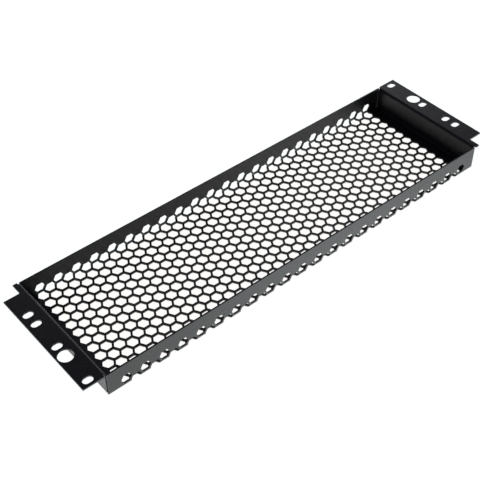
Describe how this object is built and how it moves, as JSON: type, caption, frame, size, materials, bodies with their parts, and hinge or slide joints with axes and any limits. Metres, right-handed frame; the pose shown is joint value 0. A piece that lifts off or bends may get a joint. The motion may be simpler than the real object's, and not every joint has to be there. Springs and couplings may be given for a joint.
{
  "type": "rack grille panel",
  "caption": "Shallow folded sheet-steel tray with a hexagon-perforated floor and slotted ears that bolt it across the front of an equipment rack.",
  "frame": {"origin": "on the underside of the perforated floor, in the middle of the panel", "axes": "+X along the rack's width, +Y up the rack when it is mounted, +Z from the perforated floor to the ears"},
  "size_m": [0.482, 0.1324, 0.026],
  "materials": {
    "powder_coat": "satin black powder coat with a fine even texture"
  },
  "bodies": {
    "root": {"grille_panel": "powder_coat"}
  },
  "joints": []
}
